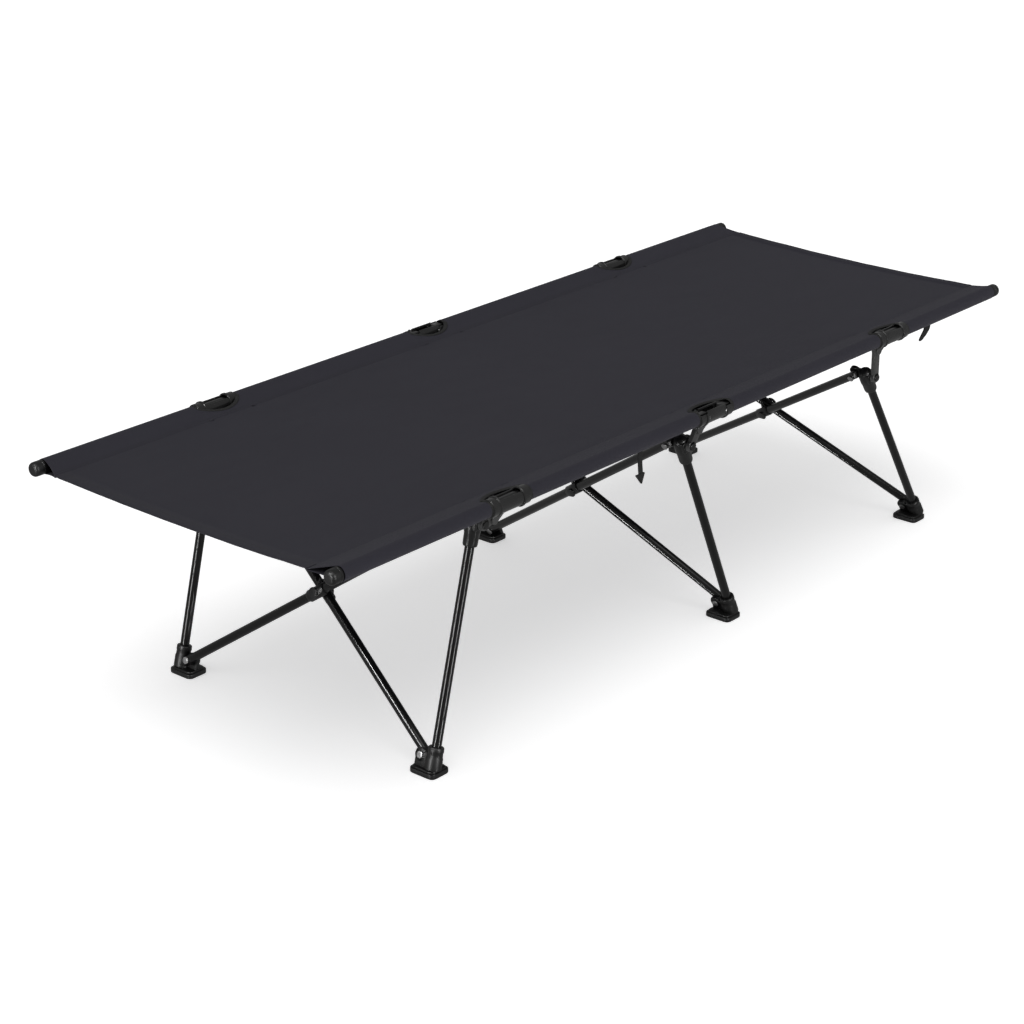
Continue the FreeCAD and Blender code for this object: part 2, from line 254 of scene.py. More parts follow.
def cloth_material(name, tone, thread, rows, row_axis):
    """Plain woven polyester: threads along the UV axes, and rows of stitches at set places."""
    shader = Shader(name)
    parts = shader.axes(shader.uv())
    turns = 2 * math.pi / thread
    weave = (parts[0] * turns).wave() * (parts[1] * turns).wave() * 0.5 + 0.5
    place = shader.place()
    patches = shader.noise(place, 5.0, 4.0)
    fuzz = shader.noise(place, 420.0, 2.0)
    dashes = (parts[1 - row_axis] * (2 * math.pi / STITCH)).wave().above(-0.35)
    stitches = Sock(shader, 0.0)
    for row in rows:
        stitches = parts[row_axis].size().near(row, THREAD_HALF) * dashes + stitches
    factor = patches * 0.4 + fuzz * 0.2 + 0.2 - stitches * 0.45
    dark = grey(tone * 0.35)
    low = grey(tone * 0.88, tone * 0.05, tone * 0.40)
    high = grey(tone * 1.12, tone * 0.05, tone * 0.44)
    shader.set(Base_Color=shader.ramp(factor, (0.05, dark), (0.35, low), (0.65, high)))
    shader.set(Roughness=shader.between(patches, 0.72, 0.86))
    shader.set(Sheen_Weight=0.06, Sheen_Roughness=0.5, Specular_IOR_Level=0.12)
    shader.bump(weave + fuzz * 0.5 - stitches * 2.0, thread * 0.22, 0.55)
    return shader.material


def webbing_material(name, tone, rib):
    """Ribbed tape."""
    shader = Shader(name)
    place = shader.place()
    x, y, z = shader.axes(place)
    ribs = ((x + z) * (2 * math.pi / rib)).wave() * 0.5 + 0.5
    edge = ((y - z) * (2 * math.pi / (rib * 1.7))).wave() * 0.5 + 0.5
    fuzz = shader.noise(place, 500.0)
    shader.set(Base_Color=shader.ramp(ribs, (0.1, grey(tone * 0.7)), (0.9, grey(tone * 1.25))))
    shader.set(Roughness=shader.between(fuzz, 0.6, 0.85), Specular_IOR_Level=0.3)
    shader.bump(ribs * 0.7 + edge * 0.3, rib * 0.25, 0.7)
    return shader.material


def coat_material(name, tone, rough):
    """Powder-coated steel: fine orange peel and faint handling marks."""
    shader = Shader(name)
    place = shader.place()
    peel = shader.noise(place, 260.0, 2.0)
    marks = shader.noise(place, 30.0, 6.0, 0.7)
    inputs = {"Value": marks, "From Min": 0.56, "From Max": 0.72}
    scuffs = shader.node("ShaderNodeMapRange", {}, inputs)
    worn = grey(tone * 1.7, 0.0, 0.001)
    shader.set(Base_Color=shader.ramp(scuffs, (0.0, grey(tone)), (1.0, worn)))
    shader.set(Roughness=shader.between(marks, rough - 0.05, rough + 0.1), Metallic=0.0)
    shader.set(Coat_Weight=0.4, Coat_Roughness=0.06, Specular_IOR_Level=0.12)
    shader.bump(peel, 0.00001, 0.15)
    return shader.material


def plastic_material(name, tone, rough):
    """Moulded nylon with a fine spark-eroded grain."""
    shader = Shader(name)
    place = shader.place()
    fine = shader.noise(place, 1400.0, 3.0)
    broad = shader.noise(place, 24.0, 4.0)
    shader.set(Base_Color=shader.ramp(broad, (0.3, grey(tone * 0.85)), (0.75, grey(tone * 1.2))))
    shader.set(Roughness=shader.between(broad * 0.6 + fine * 0.4, rough - 0.08, rough + 0.12))
    shader.set(Specular_IOR_Level=0.35)
    shader.bump(fine, 0.00008, 0.6)
    return shader.material


def steel_material(name, tone, rough):
    """Zinc-plated steel, dulled."""
    shader = Shader(name)
    place = shader.place()
    haze = shader.noise(place, 160.0, 4.0)
    shader.set(Base_Color=shader.ramp(haze, (0.3, grey(tone * 0.8)), (0.7, grey(tone * 1.1))))
    shader.set(Roughness=shader.between(haze, rough - 0.06, rough + 0.1), Metallic=1.0)
    shader.bump(haze, 0.00003, 0.4)
    return shader.material


HEM_ROWS = (PANEL_END - HEM + 0.003, PANEL_END - 0.003)
SEAM_ROWS = (0.003, 0.008)
CLOTH_DARK = cloth_material("charcoal polyester", 0.0225, WOVEN_THREAD, HEM_ROWS, 0)
SLEEVE_DARK = cloth_material("charcoal polyester sleeve", 0.024, WOVEN_THREAD, SEAM_ROWS, 1)
TAPE = webbing_material("black binding tape", 0.006, 0.0012)
STRAP_WEB = webbing_material("black strap webbing", 0.009, 0.0018)
COAT = coat_material("black powder coat", 0.0035, 0.30)
RAIL_COAT = coat_material("black rail coat", 0.004, 0.28)
SHOE_PLASTIC = plastic_material("black shoe nylon", 0.0035, 0.42)
HUB_PLASTIC = plastic_material("black hub nylon", 0.006, 0.36)
BRACKET_PLASTIC = plastic_material("dark grey bracket nylon", 0.018, 0.20)
EAR_PLASTIC = plastic_material("grey ear nylon", 0.055, 0.36)
RIVET = steel_material("dulled rivet steel", 0.33, 0.38)


# ============ Mesh helpers ============

SAME_POINT = 0.000002    # points closer than this are merged
PLAIN_SMOOTH = 40.0      # degrees between faces, up to which they shade as one
CLOTH_SMOOTH = 50.0


def make_piece(name, bm, material, body, smooth_angle=PLAIN_SMOOTH):
    """Turn a bmesh into a piece that rides on a body."""
    bmesh.ops.remove_doubles(bm, verts=bm.verts, dist=SAME_POINT)
    bmesh.ops.recalc_face_normals(bm, faces=bm.faces)
    mesh = bpy.data.meshes.new(name)
    bm.to_mesh(mesh)
    bm.free()
    mesh.polygons.foreach_set("use_smooth", [True] * len(mesh.polygons))
    mesh.set_sharp_from_angle(angle=math.radians(smooth_angle))
    mesh.materials.append(material)
    piece = bpy.data.objects.new(name, mesh)
    bpy.context.scene.collection.objects.link(piece)
    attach(piece, body)
    return piece


def turn_to(direction):
    """Rotation that takes +Z to a direction."""
    return Z_AXIS.rotation_difference(Vector(direction).normalized()).to_matrix().to_4x4()


def round_edges(bm, verts, radius, segments):
    """Round every edge that meets the given corners."""
    edges = list({edge for vert in verts for edge in vert.link_edges})
    bmesh.ops.bevel(bm, geom=edges, offset=radius, segments=segments, profile=0.5,
                    affect="EDGES", material=-1, clamp_overlap=True)


def add_block(bm, low, high, radius):
    """A block between two corners with rounded edges."""
    low, high = Vector(low), Vector(high)
    size = Vector([abs(b - a) for a, b in zip(low, high)])
    where = Matrix.Translation((low + high) / 2) @ Matrix.Diagonal((*size, 1.0))
    made = bmesh.ops.create_cube(bm, size=1.0, matrix=where)
    round_edges(bm, made["verts"], radius, 3)


def add_lathe(bm, profile, start, direction, steps=28):
    """Turn a profile of (distance along, radius) about a line; closes on the line at zero radius."""
    frame_at = Matrix.Translation(start) @ turn_to(direction)
    verts = [bm.verts.new(frame_at @ Vector((radius, 0, along))) for along, radius in profile]
    edges = [bm.edges.new(pair) for pair in zip(verts, verts[1:])]
    axis = frame_at.to_3x3() @ Z_AXIS
    bmesh.ops.spin(bm, geom=verts + edges, cent=start, axis=axis, angle=2 * math.pi,
                   steps=steps, use_merge=True)


def add_domed_rod(bm, start, end, radius, dome, steps=24, rings=4):
    """A rod with rounded ends."""
    start, end = Vector(start), Vector(end)
    length = (end - start).length
    profile = [(0.0, 0.0)]
    for ring in range(rings + 1):
        angle = math.pi / 2 * ring / rings
        profile.append((dome * (1 - math.cos(angle)), radius - dome * (1 - math.sin(angle))))
    for ring in range(rings + 1):
        angle = math.pi / 2 * ring / rings
        profile.append((length - dome * (1 - math.sin(angle)), radius - dome * (1 - math.cos(angle))))
    profile.append((length, 0.0))
    add_lathe(bm, profile, start, end - start, steps)


def add_head(bm, seat, outward, head):
    """A domed head that stands on a seat; its sizes are (length, radius, dome)."""
    length, radius, dome = head
    add_domed_rod(bm, seat, seat + outward * length, radius, dome)


def add_plate(bm, outline, thickness, radius):
    """Extrude a flat outline by a thickness vector and round its edges."""
    verts = [bm.verts.new(point) for point in outline]
    face = bm.faces.new(verts)
    made = bmesh.ops.extrude_face_region(bm, geom=[face], use_keep_orig=True)
    moved = [item for item in made["geom"] if isinstance(item, bmesh.types.BMVert)]
    bmesh.ops.translate(bm, verts=moved, vec=thickness)
    round_edges(bm, verts + moved, radius, 2)


def round_outline(points, radius, steps=5):
    """Outline with its corners rounded, in the plane of its points."""
    rounded = []
    count = len(points)
    for index in range(count):
        corner = Vector(points[index])
        before = Vector(points[index - 1]) - corner
        after = Vector(points[(index + 1) % count]) - corner
        reach = min(radius, before.length * 0.45, after.length * 0.45)
        start, end = corner + before.normalized() * reach, corner + after.normalized() * reach
        for step in range(steps + 1):
            share = step / steps
            rounded.append(start.lerp(corner, share).lerp(corner.lerp(end, share), share))
    return rounded


def sweep_section(bm, path, section, ups):
    """Carry a closed section of (side, up) points along an open path, with both ends filled."""
    rings = []
    last = len(path) - 1
    for index, point in enumerate(path):
        forward = (path[min(index + 1, last)] - path[max(index - 1, 0)]).normalized()
        side = forward.cross(ups[index]).normalized()
        up = side.cross(forward).normalized()
        rings.append([bm.verts.new(point + side * a + up * b) for a, b in section])
    size = len(section)
    for first, second in zip(rings, rings[1:]):
        for place in range(size):
            after = (place + 1) % size
            bm.faces.new((first[place], first[after], second[after], second[place]))
    bm.faces.new(rings[0][::-1])
    bm.faces.new(rings[-1])


def oval_section(width, height, count=8):
    """A flattened round section."""
    turns = [2 * math.pi * index / count for index in range(count)]
    return [(math.cos(turn) * width / 2, math.sin(turn) * height / 2) for turn in turns]


# ============ Leg sets ============

def joint_at(name):
    """Where a joint's axis passes, at rest."""
    return Vector(JOINTS[name]["pos_m"])


PIVOT_NAMES = {
    "mid": ("width_fold", "mid_far_shoe", "mid_near_hub", "mid_far_hub"),
    "head": ("head_near_shoe", "head_far_shoe", "head_near_hub_pivot", "head_far_hub_pivot"),
    "foot": ("foot_near_shoe", "foot_far_shoe", "foot_near_hub_pivot", "foot_far_hub_pivot"),
}


class LegSet:
    """One leaning leg set: its local frame has X along the pins, Y across the cot and Z up the legs."""

    def __init__(self, station):
        near_shoe, far_shoe, near_hub, far_hub = [joint_at(name) for name in PIVOT_NAMES[station]]
        origin = (near_shoe + far_shoe) / 2
        top = (near_hub + far_hub) / 2
        self.reach = (top - origin).length
        self.half = (far_shoe - near_shoe).y / 2
        up = (top - origin).normalized()
        normal = Y_AXIS.cross(up)
        self.layer = (near_shoe - origin).dot(normal)
        turn = Matrix((normal, Y_AXIS, up)).transposed().to_4x4()
        self.matrix = Matrix.Translation(origin) @ turn

    def at(self, n, y, u):
        """A place in the cot's frame, from the set's own."""
        return self.matrix @ Vector((n, y, u))

    def transform(self, bm):
        """Move a mesh from the set's own frame into the cot's."""
        bmesh.ops.transform(bm, matrix=self.matrix, verts=bm.verts)


LEGS = {station: LegSet(station) for station in STATIONS}
UPRIGHT_OUT = 0.024      # upright outside the bars' pivots
SOLE_HALF = 0.022
SOLE_STEPS = ((0.0, 0.0, 0.0088), (0.0030, 0.007, 0.0118))      # inset, bottom, top
SOLE_CORNER = 0.0105
SOLE_EDGE = 0.0016
CUT_AT = 0.004           # where the upright's collar is cut, inside the sole
LUG_START = 0.0004       # faces of a lug beside a bar, from the pivot's plane
LUG_END = 0.0080
LUG_BELOW = 0.0115
LUG_ABOVE = 0.0085
LUG_EDGE = 0.0018
SHOE_LUG_IN = 0.0105     # shoe's lug inside the pivot
SHOE_LUG_FOOT = -0.022
HUB_BLOCK = ((-0.0115, -0.008, -0.013), (0.0115, 0.0145, 0.0095))       # from the rod at the pivot's height
HUB_EDGE = 0.003
SEAT_OUT = 0.008         # ear's seat outside the upright
# Turned profiles: (distance along, radius)
HUB_SOCKET = ((-0.040, 0.0090), (-0.040, 0.0112), (-0.037, 0.0122), (-0.018, 0.0128), (-0.016, 0.0138),
              (0.004, 0.0138), (0.010, 0.0122), (0.0135, 0.0080), (0.0145, 0.0))
HUB_SEAT = ((0.0, 0.0), (0.0, 0.0098), (0.0066, 0.0092), (0.0072, 0.0050), (0.0166, 0.0050), (0.0166, 0.0))
SEAT_LENGTH = 0.0166
LUG_DISC = ((0.0, 0.0), (0.0, 0.0112), (0.0008, 0.0120), (0.0066, 0.0120), (0.0076, 0.0108), (0.0076, 0.0))
SHOE_COLLAR = ((-0.018, 0.0), (-0.018, 0.0142), (0.001, 0.0140), (0.003, 0.0130), (0.010, 0.0126),
               (0.012, 0.0134), (0.0185, 0.0132), (0.020, 0.0120), (0.020, 0.0084))
BAR_PLUG = ((-0.010, 0.0064), (0.0, 0.0064), (0.0, 0.0079), (0.0012, 0.0078), (0.0024, 0.0060), (0.0028, 0.0))
BAR_END = 0.0100         # bar beyond its pivots
SADDLE = ((-0.0195, 0.0081), (-0.0195, 0.0098), (-0.0175, 0.0108), (0.0175, 0.0108), (0.0195, 0.0098),
          (0.0195, 0.0081))
HORN = ((0.0, 0.0), (0.0, 0.0046), (0.010, 0.0026), (0.016, 0.0010), (0.0165, 0.0))
HORN_AT = Vector((0.002, 0, 0.0075))     # its foot, from the middle of the second bar
HORN_WAY = Vector((0.15, 0.25, 1))
# Domed heads: (length, radius, dome)
TRUNNION_HEAD = (0.0024, 0.0070, 0.0011)
CROSS_HEAD = (0.0032, 0.0095, 0.0012)
CROSS_SEAT = 0.0100      # its seat, from the bar's line


def hub_body(station, name):
    """Body of a hub: the middle ones are fixed to their brackets, the others turn in the ears."""
    return name + "_mid_bracket" if station == "mid" else station + "_" + name + "_hub"


def build_hub(station, name):
    """Moulded hub: a socket over the upright, a round boss for the bar's rivet and a neck for the ear."""
    legs, side = LEGS[station], SIDES[name]
    bm = bmesh.new()
    y_rod = side * (legs.half + UPRIGHT_OUT)
    y_bar = side * legs.half
    top = legs.reach
    outward = Vector((0, side, 0))
    add_lathe(bm, HUB_SOCKET, Vector((0, y_rod, top)), Z_AXIS, 28)
    lug_a, lug_b = -side * LUG_START, -side * LUG_END
    add_lathe(bm, LUG_DISC, Vector((lug_a, y_bar, top)), Vector((-side, 0, 0)), 28)
    add_block(bm, (lug_a, y_bar, top - LUG_BELOW), (lug_b, y_rod, top + LUG_ABOVE), LUG_EDGE)
    corners = [(a, y_rod + side * b, top + c) for a, b, c in HUB_BLOCK]
    add_block(bm, *corners, HUB_EDGE)
    seat = Vector((0, y_rod + side * SEAT_OUT, top))
    add_lathe(bm, HUB_SEAT, seat, outward, 24)
    cap = seat + outward * SEAT_LENGTH
    add_head(bm, cap, outward, TRUNNION_HEAD)
    legs.transform(bm)
    node = station + "_" + name + "_hub"
    piece = make_piece(node + "_moulding", bm, HUB_PLASTIC, hub_body(station, name))
    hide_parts(node)


def build_shoe(station, name):
    """Moulded shoe: stepped sole, ribbed collar round the upright and a rounded cheek for the bar."""
    legs, side = LEGS[station], SIDES[name]
    node = station + "_" + name + "_shoe"
    upper = bmesh.new()
    y_rod = side * (legs.half + UPRIGHT_OUT)
    y_bar = side * legs.half
    add_lathe(upper, SHOE_COLLAR, Vector((0, y_rod, 0)), Z_AXIS, 28)
    lug_a, lug_b = side * LUG_START, side * LUG_END
    add_lathe(upper, LUG_DISC, Vector((lug_a, y_bar, 0)), Vector((side, 0, 0)), 28)
    add_block(upper, (lug_a, y_bar - side * SHOE_LUG_IN, SHOE_LUG_FOOT), (lug_b, y_rod, LUG_ABOVE), LUG_EDGE)
    legs.transform(upper)
    bmesh.ops.bisect_plane(upper, geom=upper.verts[:] + upper.edges[:] + upper.faces[:], dist=0.00001,
                           plane_co=(0, 0, CUT_AT), plane_no=(0, 0, -1), clear_outer=True)
    rims = [edge for edge in upper.edges if edge.is_boundary and edge.verts[0].co.z < CUT_AT + 0.0005]
    bmesh.ops.holes_fill(upper, edges=rims, sides=0)
    low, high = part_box(node)
    base = bmesh.new()
    middle_y, half_y = (low.y + high.y) / 2, (high.y - low.y) / 2
    ground = legs.at(0, 0, 0)
    for inset, bottom, top in SOLE_STEPS:
        corners = [(ground.x + a * (SOLE_HALF - inset), middle_y + b * (half_y - inset), bottom)
                   for a, b in ((-1, -1), (1, -1), (1, 1), (-1, 1))]
        outline = round_outline(corners, SOLE_CORNER, 5)
        add_plate(base, outline, Vector((0, 0, top - bottom)), SOLE_EDGE)
    mesh = bpy.data.meshes.new("shoe upper")
    upper.to_mesh(mesh)
    upper.free()
    base.from_mesh(mesh)
    piece = make_piece(node + "_moulding", base, SHOE_PLASTIC, station + "_" + name + "_leg")
    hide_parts(node)


def build_bar_trim(station, letter, layer):
    """Plugs in a bar's ends, and the half-saddle with its domed head where the bars cross."""
    legs = LEGS[station]
    bm = bmesh.new()
    low = Vector((layer * legs.layer, -layer * legs.half, 0))
    high = Vector((layer * legs.layer, layer * legs.half, legs.reach))
    along = (high - low).normalized()
    for end, way in ((low, -along), (high, along)):
        add_lathe(bm, BAR_PLUG, end + way * BAR_END, way, 20)
    middle = (low + high) / 2
    out = Vector((layer, 0, 0))
    side = along.cross(out).normalized()
    verts = [bm.verts.new(middle + along * a + side * r) for a, r in SADDLE]
    edges = [bm.edges.new(pair) for pair in zip(verts, verts[1:] + verts[:1])]
    face = bm.faces.new(verts)
    turn = math.pi if along.cross(side).dot(out) > 0 else -math.pi
    bmesh.ops.spin(bm, geom=[face, *edges, *verts], cent=middle, axis=along, angle=turn, steps=14)
    if layer < 0:
        add_lathe(bm, HORN, middle + HORN_AT, HORN_WAY, 14)
    add_head(bm, middle + out * CROSS_SEAT, out, CROSS_HEAD)
    legs.transform(bm)
    bar = station + "_bar_" + letter
    make_piece(bar + "_trim", bm, HUB_PLASTIC, bar)


# ============ Rail brackets ============

BRACKET_HALF = 0.026     # slotted middle of a bracket
BRACKET_END = 0.0458
RING_LENGTH = 0.0055
RING_R = 0.0172
SHELL_R = 0.0156         # plain collars beyond the rings
RING_EDGE = 0.0014
OPEN_EDGE = 0.001        # of the rings that are open at the top
CHANNEL_R = 0.0150
MID_FIT = 0.0006         # channel's bore, beyond what clamps the rail
OUTER_FIT = 0.0004
RAIL_FIT = 0.0002        # between a rail and what clamps it
OPEN_BORE = 0.0125       # middle bracket, where the rail swings out
RING_OPENING = 56        # degrees from the top to each lip
MID_OPENING = 42
OUTER_OPENING = 40
LIP_R = 0.0012
EAR = 0.009              # thickness of an ear
EYE_R = 0.0098           # ring of the ear round the hub's neck
EYE_BORE = 0.0053
EYE_EDGE = 0.001
EAR_HEAD = (0.00468, 0.0082, 0.0014)     # length, radius, dome
EAR_IN = 0.0394          # ear outside the bars' pivots
EAR_CORNER = (-0.014, -0.030)    # its lowest corner, from the middle of the bracket
EAR_TOP = ((-0.030, -0.004), (0.031, -0.004), (0.028, -0.0145))
EAR_FOOT = ((0.007, -0.0085), (-0.007, -0.0085), (-0.0095, 0.004))      # from the corner
EAR_CURVE = 0.006        # of its corners
EAR_EDGE = 0.0011
ARM_EDGE = 0.0012
ARM_HALF = 0.0078
ARM_START = 0.004        # arm's start, behind the corner
CAP_R = 0.0125
CAP_PROFILE = ((0.0, 0.0112), (0.0, 0.0120), (0.0008, CAP_R), (0.004, CAP_R), (0.0046, 0.0119),
               (0.006, 0.0119), (0.0066, CAP_R))
CAP_ROUND = 0.0065
CAP_LENGTH = 0.022


def ring_profile(radius, bore, length, round_by):
    """Closed section of a ring: (along, radius)."""
    return ((0, bore), (0, radius - round_by), (round_by, radius), (length - round_by, radius),
            (length, radius - round_by), (length, bore), (0, bore))


def build_bracket(station, name):
    """Bracket on a rail: slotted channel between two rings, plain collars, and the ear below."""
    node = name + "_" + station + "_bracket"
    centre = Vector((RING_X[station], SIDES[name] * RAIL_Y, RAIL_Z))
    collar = BRACKET_END - BRACKET_HALF - RING_LENGTH
    bore = RAIL_R + RAIL_FIT
    bm = bmesh.new()
    for end in (-1, 1):
        way = Vector((end, 0, 0))
        start = centre + way * BRACKET_HALF
        if station == "mid":
            add_open_ring(bm, start, end, RING_R, OPEN_BORE, RING_LENGTH)
            add_open_ring(bm, start + way * RING_LENGTH, end, SHELL_R, OPEN_BORE, collar)
        else:
            add_lathe(bm, ring_profile(RING_R, bore, RING_LENGTH, RING_EDGE), start, way, 36)
            shell = ring_profile(SHELL_R, bore, RING_LENGTH + collar, RING_EDGE)
            add_lathe(bm, shell, start, way, 36)
    if station == "mid":
        add_channel(bm, centre, BRACKET_HALF, CHANNEL_R, bore + MID_FIT, MID_OPENING)
        body = name + "_mid_bracket"
    else:
        add_channel(bm, centre, BRACKET_HALF, CHANNEL_R, bore + OUTER_FIT, OUTER_OPENING)
        body = name + "_" + station + "_rail"
    piece = make_piece(node + "_moulding", bm, BRACKET_PLASTIC, body)
    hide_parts(node)
    build_ear(station, name, body)


def add_open_ring(bm, start, end, radius, bore, length):
    """Part of a ring, open at the top, so that the rail can swing up out of it."""
    opening = math.radians(RING_OPENING)
    section = ring_profile(radius, bore, length, OPEN_EDGE)[:-1]
    verts = []
    for along, r in section:
        point = start + Vector((end * along, math.sin(opening) * r, math.cos(opening) * r))
        verts.append(bm.verts.new(point))
    face = bm.faces.new(verts)
    edges = list(face.edges)
    bmesh.ops.spin(bm, geom=[face, *edges, *verts], cent=start, axis=X_AXIS,
                   angle=-(2 * math.pi - 2 * opening), steps=26)


def add_channel(bm, centre, half, radius, bore, opening_deg):
    """Round channel with a slot along its top."""
    opening = math.radians(opening_deg)
    section = [(-half, bore), (-half, radius), (half, radius), (half, bore)]
    verts = []
    for along, r in section:
        point = centre + Vector((along, math.sin(opening) * r, math.cos(opening) * r))
        verts.append(bm.verts.new(point))
    face = bm.faces.new(verts)
    bmesh.ops.spin(bm, geom=[face, *face.edges, *verts], cent=centre, axis=X_AXIS,
                   angle=-(2 * math.pi - 2 * opening), steps=28)
    for turn in (-opening, opening):
        at = centre + Vector((0, math.sin(turn), math.cos(turn))) * (radius - LIP_R)
        add_domed_rod(bm, at - X_AXIS * half, at + X_AXIS * half, LIP_R * 1.25, LIP_R * 0.5, 10, 2)


def build_ear(station, name, body):
    """Ear below the bracket: a tapered web with rounded edges, and the arm down to the hub."""
    side = SIDES[name]
    legs = LEGS[station]
    hub = legs.at(0, side * legs.half, legs.reach)
    x = RING_X[station]
    inner = side * (legs.half + EAR_IN)
    across = Vector((0, side * EAR, 0))
    corner = Vector((x + EAR_CORNER[0], inner, RAIL_Z + EAR_CORNER[1]))
    tip = Vector((hub.x, inner, hub.z))
    bm = bmesh.new()
    outline = [(x + a, inner, RAIL_Z + b) for a, b in EAR_TOP]
    outline += [(corner.x + a, inner, corner.z + b) for a, b in EAR_FOOT]
    add_plate(bm, round_outline(outline, EAR_CURVE, 4), across, EAR_EDGE)
    way = (tip - corner).normalized()
    beside = way.cross(Y_AXIS).normalized() * ARM_HALF
    start = corner - way * ARM_START
    arm = [start + beside, tip + beside, tip - beside, start - beside]
    add_plate(bm, arm, across, ARM_EDGE)
    eye = ring_profile(EYE_R, EYE_BORE, EAR, EYE_EDGE)
    add_lathe(bm, eye, tip, Vector((0, side, 0)), 28)
    add_head(bm, corner + across * 0.9, across.normalized(), EAR_HEAD)
    make_piece(name + "_" + station + "_ear", bm, EAR_PLASTIC, body)


def build_cap(name, end_name):
    """Rounded cap on a rail's end, with a grip ring."""
    side, end = SIDES[name], ENDS[end_name]
    node = name + "_" + end_name + "_rail_cap"
    low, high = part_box(node)
    inner = low.x if end > 0 else high.x
    start = Vector((inner, side * RAIL_Y, RAIL_Z))
    bm = bmesh.new()
    profile = list(CAP_PROFILE)
    flat_r = CAP_R - CAP_ROUND
    for step in range(7):
        angle = math.pi / 2 * step / 6
        along = CAP_LENGTH - CAP_ROUND + CAP_ROUND * math.sin(angle)
        profile.append((along, flat_r + CAP_ROUND * math.cos(angle)))
    profile.append((CAP_LENGTH, 0.0))
    add_lathe(bm, profile, start, Vector((end, 0, 0)), 32)
    rail = name + "_" + end_name + "_rail"
    piece = make_piece(node + "_moulding", bm, SHOE_PLASTIC, rail)
    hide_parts(node)


# ============ Cloth ============

EDGE_TAPE = oval_section(0.0078, 0.0030, 10)
LOOP_TAPE = oval_section(0.0070, 0.0024, 8)
TAPE_LIFT = 0.0002
STRAP_SECTION = ((-0.0008, -0.0055), (0.0008, -0.0055), (0.0008, 0.0055), (-0.0008, 0.0055))
STRAP_SHARE = 0.74       # of its drop, before the hook
STRAP_BEND = 0.004
HOOK_OUTLINE = ((-0.015, 0.004), (0.010, 0.004), (0.002, -0.016))
HOOK_THICK = 0.003
HOOK_EDGE = 0.0007
HOOK_CORNER = 0.0022
TAB_OUTLINE = ((0.012, 0.0), (0.009, -0.009), (-0.002, -0.018), (-0.016, -0.0255), (-0.024, -0.0262),
               (-0.0265, -0.0225), (-0.019, -0.014), (-0.011, -0.006), (-0.009, 0.0))
TAB_THICK = 0.0022
TAB_EDGE = 0.0006
TAB_CORNER = 0.004


def seam_point(side):
    """Where the panel meets a sleeve."""
    return Vector((0, side * SEAM_Y, PANEL_Z + SEAM_UP))


def sleeve_profile(side):
    """Sleeve section: its points from the seam to the rail, round the rail, and back under it."""
    seam = seam_point(side)
    centre = Vector((0, side * RAIL_Y, RAIL_Z))
    reach = centre - seam
    lean = math.atan2(reach.z, abs(reach.y))
    tangent = math.acos(SLEEVE_R / reach.length)
    first = math.pi - tangent + lean
    top = [seam.lerp(centre + on_circle(side, first), step / 10) for step in range(11)]
    last = math.pi + tangent + lean
    sweep = last - first - 2 * math.pi
    ring = [centre + on_circle(side, first + sweep * step / 18) for step in range(1, 18)]
    low_seam = seam - Vector((0, 0, CLOTH * 1.3))
    under = [(centre + on_circle(side, last)).lerp(low_seam, step / 8) for step in range(9)]
    return top, ring, under


def on_circle(side, angle):
    """Point on the sleeve's round part; angle 0 is away from the panel and 90 degrees is up."""
    return Vector((0, side * math.cos(angle) * SLEEVE_R, math.sin(angle) * SLEEVE_R))


def cut_edge(x, station):
    """How far from the middle plane the cloth reaches at a bracket's cut-out."""
    off = x - RING_X[station]
    return RAIL_Y + CUT_OUT - math.sqrt(max(CUT_R ** 2 - off ** 2, 0.0))


def trim_line(points, reach):
    """A run of points cut short at a distance from the middle plane, keeping its count."""
    lengths = [0.0]
    for a, b in zip(points, points[1:]):
        lengths.append(lengths[-1] + (b - a).length)
    total = lengths[-1]
    share = (reach - abs(points[0].y)) / (abs(points[-1].y) - abs(points[0].y))
    share = min(1.0, max(0.05, share))
    cut = []
    for index in range(len(points)):
        goal = total * share * index / (len(points) - 1)
        place = max(k for k in range(len(lengths)) if lengths[k] <= goal + 1e-9)
        place = min(place, len(points) - 2)
        part = (goal - lengths[place]) / max(lengths[place + 1] - lengths[place], 1e-9)
        cut.append(points[place].lerp(points[place + 1], part))
    return cut


def sleeve_columns(end_name):
    """Runs of places along a sleeve, each (x, the station whose cut-out it is in, or None)."""
    end = ENDS[end_name]
    ring = RING_X[end_name] * end
    spans = (
        (0.0, CUT_HALF, 8, "mid"),
        (CUT_HALF, ring - CUT_HALF, 26, None),
        (ring - CUT_HALF, ring + CUT_HALF, 16, end_name),
        (ring + CUT_HALF, SLEEVE_END, 20, None),
    )
    columns = []
    for low, high, count, station in spans:
        run = [(end * (low + (high - low) * step / count), station) for step in range(count + 1)]
        columns.append(run)
    return columns


def pucker(point, strength):
    """Small fixed unevenness of stretched cloth."""
    slow = noise.noise(Vector((point.x * 9, point.y * 30, 1.7)))
    quick = noise.noise(Vector((point.x * 31, point.y * 60, 5.1)))
    return (slow * 0.7 + quick * 0.3) * strength


def flare(x, y, end_name):
    """How much further a sleeve's outer end reaches at its seam, to meet the panel's hem."""
    inner = abs(RING_X[end_name]) + CUT_HALF
    outward = max(0.0, (abs(x) - inner) / (SLEEVE_END - inner))
    inward = 1 - min(1.0, max(0.0, (abs(y) - SEAM_Y) / SEAM_IN))
    return ENDS[end_name] * (PANEL_END - SLEEVE_END) * inward ** 1.6 * outward ** 2


